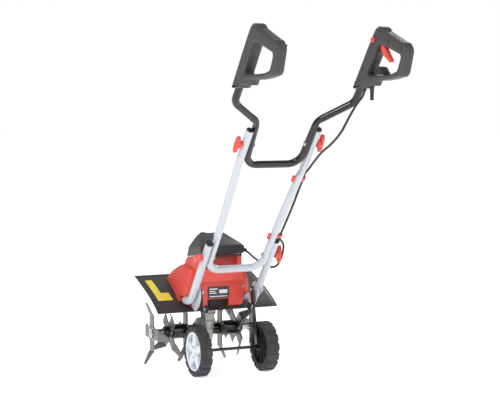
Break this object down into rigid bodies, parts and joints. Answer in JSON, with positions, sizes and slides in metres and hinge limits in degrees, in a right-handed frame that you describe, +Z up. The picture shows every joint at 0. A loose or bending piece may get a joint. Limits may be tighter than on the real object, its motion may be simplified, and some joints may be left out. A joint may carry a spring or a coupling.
{
  "type": "electric tiller",
  "caption": "Electric garden tiller with a red motor housing, folding tubular handlebars, closed grips, transport wheels and star tines under a guard.",
  "frame": {"origin": "on the ground, under the middle of the bounding box", "axes": "+Z up, +Y forwards from the grips to the tines, +X to the operator's right"},
  "size_m": [0.422, 1.115, 1.077],
  "materials": {
    "red_plastic": "satin moulded red",
    "grey_plastic": "fine moulded texture, dark grey",
    "black_plastic": "satin black",
    "white_enamel": "gloss white powder coat",
    "black_enamel": "gloss black paint",
    "tyre_rubber": "moulded dark tread",
    "white_plastic": "satin white",
    "tine_steel": "pressed and heat treated",
    "steel": "zinc plated",
    "cast_aluminium": "as cast",
    "copper": "wound wire",
    "bronze": "machined"
  },
  "bodies": {
    "chassis": {"housing_shell": "red_plastic", "motor_cap": "grey_plastic", "tine_guard": "grey_plastic", "gear_case_left": "cast_aluminium", "gear_case_right": "cast_aluminium", "shaft_bearing_left": "steel", "shaft_bearing_right": "steel", "motor_stator": "steel", "base_frame": "white_enamel", "frame_cap_left": "black_plastic", "frame_cap_right": "black_plastic", "pivot_plate_left": "white_enamel", "pivot_plate_right": "white_enamel", "pivot_bolt_left": "steel", "pivot_bolt_right": "steel", "cable_lower": "black_plastic"},
    "tine_rotor": {"tine_shaft": "steel", "worm_wheel": "bronze", "hub_tube_left": "black_enamel", "hub_tube_right": "black_enamel", "tine_star_left_1": "tine_steel", "tine_star_left_2": "tine_steel", "tine_star_left_3": "tine_steel", "tine_star_right_1": "tine_steel", "tine_star_right_2": "tine_steel", "tine_star_right_3": "tine_steel"},
    "motor_rotor": {"motor_armature": "copper", "worm_shaft": "steel", "cooling_fan": "black_plastic"},
    "wheel_frame": {"wheel_arm_left": "black_enamel", "wheel_arm_right": "black_enamel", "axle_rod": "black_enamel"},
    "wheel_left": {"tyre_left": "tyre_rubber", "wheel_hub_left": "white_plastic"},
    "wheel_right": {"tyre_right": "tyre_rubber", "wheel_hub_right": "white_plastic"},
    "lock_pin_left": {"lock_pin_left": "black_plastic"},
    "lock_pin_right": {"lock_pin_right": "black_plastic"},
    "lower_handle": {"lower_handlebar": "white_enamel", "leg_cap_left": "black_plastic", "leg_cap_right": "black_plastic", "cable_clip_lower": "red_plastic", "cable_clip_upper": "red_plastic", "cable_middle": "black_plastic"},
    "lower_knob_left": {"lower_knob_left": "red_plastic"},
    "lower_knob_right": {"lower_knob_right": "red_plastic"},
    "upper_handle": {"upper_handlebar": "black_enamel", "left_grip_inner": "grey_plastic", "left_grip_outer": "grey_plastic", "right_grip_inner": "grey_plastic", "right_grip_outer": "grey_plastic", "switch_body": "black_plastic", "cord_hook": "black_plastic", "inlet_sleeve": "black_plastic", "cable_upper": "black_plastic"},
    "upper_knob_left": {"upper_knob_left": "red_plastic"},
    "upper_knob_right": {"upper_knob_right": "red_plastic"},
    "trigger": {"trigger": "red_plastic"},
    "lock_button": {"lock_button": "red_plastic"}
  },
  "joints": [
    {"name": "tine_spin", "type": "hinge", "parent": "chassis", "child": "tine_rotor", "pos_m": [0, 0.4535, 0.104], "axis": [1, 0, 0], "continuous": true},
    {"name": "motor_spin", "type": "hinge", "parent": "chassis", "child": "motor_rotor", "pos_m": [0, 0.41663, 0.09481], "axis": [0, -0.2419, 0.9703], "continuous": true},
    {"name": "wheel_frame_pivot", "type": "hinge", "parent": "chassis", "child": "wheel_frame", "pos_m": [0, 0.2515, 0.262], "axis": [1, 0, 0], "range_deg": [-90, 0]},
    {"name": "wheel_spin_left", "type": "hinge", "parent": "wheel_frame", "child": "wheel_left", "pos_m": [-0.115, 0.2085, 0.08], "axis": [1, 0, 0], "continuous": true},
    {"name": "lock_pin_pull_left", "type": "slide", "parent": "wheel_frame", "child": "lock_pin_left", "axis": [1, 0, 0], "range_m": [0, 0.008]},
    {"name": "wheel_spin_right", "type": "hinge", "parent": "wheel_frame", "child": "wheel_right", "pos_m": [0.115, 0.2085, 0.08], "axis": [1, 0, 0], "continuous": true},
    {"name": "lock_pin_pull_right", "type": "slide", "parent": "wheel_frame", "child": "lock_pin_right", "axis": [-1, 0, 0], "range_m": [0, 0.008]},
    {"name": "lower_fold", "type": "hinge", "parent": "chassis", "child": "lower_handle", "pos_m": [0, 0.1525, 0.383], "axis": [-1, 0, 0], "range_deg": [0, 100], "deforming": ["cable_lower"]},
    {"name": "upper_fold", "type": "hinge", "parent": "lower_handle", "child": "upper_handle", "pos_m": [0, -0.1455, 0.745], "axis": [-1, 0, 0], "range_deg": [0, 115], "deforming": ["cable_upper"]},
    {"name": "lower_knob_turn_left", "type": "hinge", "parent": "chassis", "child": "lower_knob_left", "pos_m": [-0.133, 0.1525, 0.383], "axis": [1, 0, 0], "continuous": true},
    {"name": "upper_knob_turn_left", "type": "hinge", "parent": "lower_handle", "child": "upper_knob_left", "pos_m": [-0.128, -0.1455, 0.745], "axis": [1, 0, 0], "continuous": true},
    {"name": "lower_knob_turn_right", "type": "hinge", "parent": "chassis", "child": "lower_knob_right", "pos_m": [0.133, 0.1525, 0.383], "axis": [1, 0, 0], "continuous": true},
    {"name": "upper_knob_turn_right", "type": "hinge", "parent": "lower_handle", "child": "upper_knob_right", "pos_m": [0.128, -0.1455, 0.745], "axis": [1, 0, 0], "continuous": true},
    {"name": "trigger_squeeze", "type": "hinge", "parent": "upper_handle", "child": "trigger", "pos_m": [0.19, -0.4135, 1.034], "axis": [-1, 0, 0], "range_deg": [0, 9], "stiffness_Nm_per_rad": 0.4},
    {"name": "lock_button_press", "type": "slide", "parent": "upper_handle", "child": "lock_button", "axis": [1, 0, 0], "range_m": [0, 0.0035], "stiffness_N_per_m": 250}
  ],
  "couplings": [
    {"joint": "motor_spin", "follows": "tine_spin", "ratio": 24}
  ]
}
